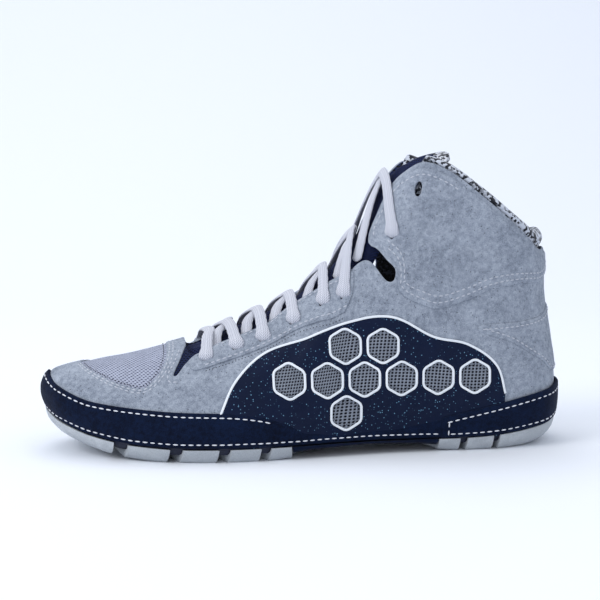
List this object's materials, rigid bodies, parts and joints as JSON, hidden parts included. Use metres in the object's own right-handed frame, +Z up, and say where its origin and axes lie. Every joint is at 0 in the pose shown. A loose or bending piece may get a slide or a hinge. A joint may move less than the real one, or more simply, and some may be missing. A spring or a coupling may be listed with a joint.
{
  "type": "wrestling shoe",
  "caption": "Left mid-high lace-up wrestling shoe: suede upper with mesh windows under a honeycomb cage, ankle cuff, padded collar and tongue, wrap-round rand and split rubber sole.",
  "frame": {"origin": "on the floor, under the middle of the shoe's bounding box", "axes": "+X from toe to heel, -Y to the outer (lateral) side, +Z up; azimuth 0 looks at the outer side"},
  "size_m": [0.285, 0.0988, 0.1604],
  "materials": {
    "grey_suede": "light grey synthetic suede, matt",
    "navy_suede": "navy suede, matt, light stitching",
    "navy_print": "navy sheet with fine glitter, pale edges",
    "grey_rubber": "grey rubber with a fine hexagon tread",
    "navy_foam": "smooth navy foam",
    "mottled_knit": "mottled black and white knit",
    "navy_mesh": "navy open mesh over padding",
    "grey_lace": "light grey flat woven lace"
  },
  "bodies": {
    "root": {"upper": "grey_suede", "ankle_cuff": "grey_suede", "heel_counter": "grey_suede", "eyestay_lateral": "grey_suede", "eyestay_medial": "grey_suede", "rand": "navy_suede", "arch_wrap": "navy_suede", "cage_lateral": "navy_print", "cage_medial": "navy_print", "outsole_forefoot": "grey_rubber", "outsole_heel": "grey_rubber", "arch_plug": "grey_rubber", "midsole": "navy_foam", "insole": "mottled_knit", "collar_lining": "mottled_knit", "tongue": "navy_mesh", "lace_bar": "grey_lace", "lace_crossing_1": "grey_lace", "lace_crossing_2": "grey_lace", "lace_crossing_3": "grey_lace", "lace_crossing_4": "grey_lace", "lace_crossing_5": "grey_lace", "lace_crossing_6": "grey_lace"}
  },
  "joints": []
}
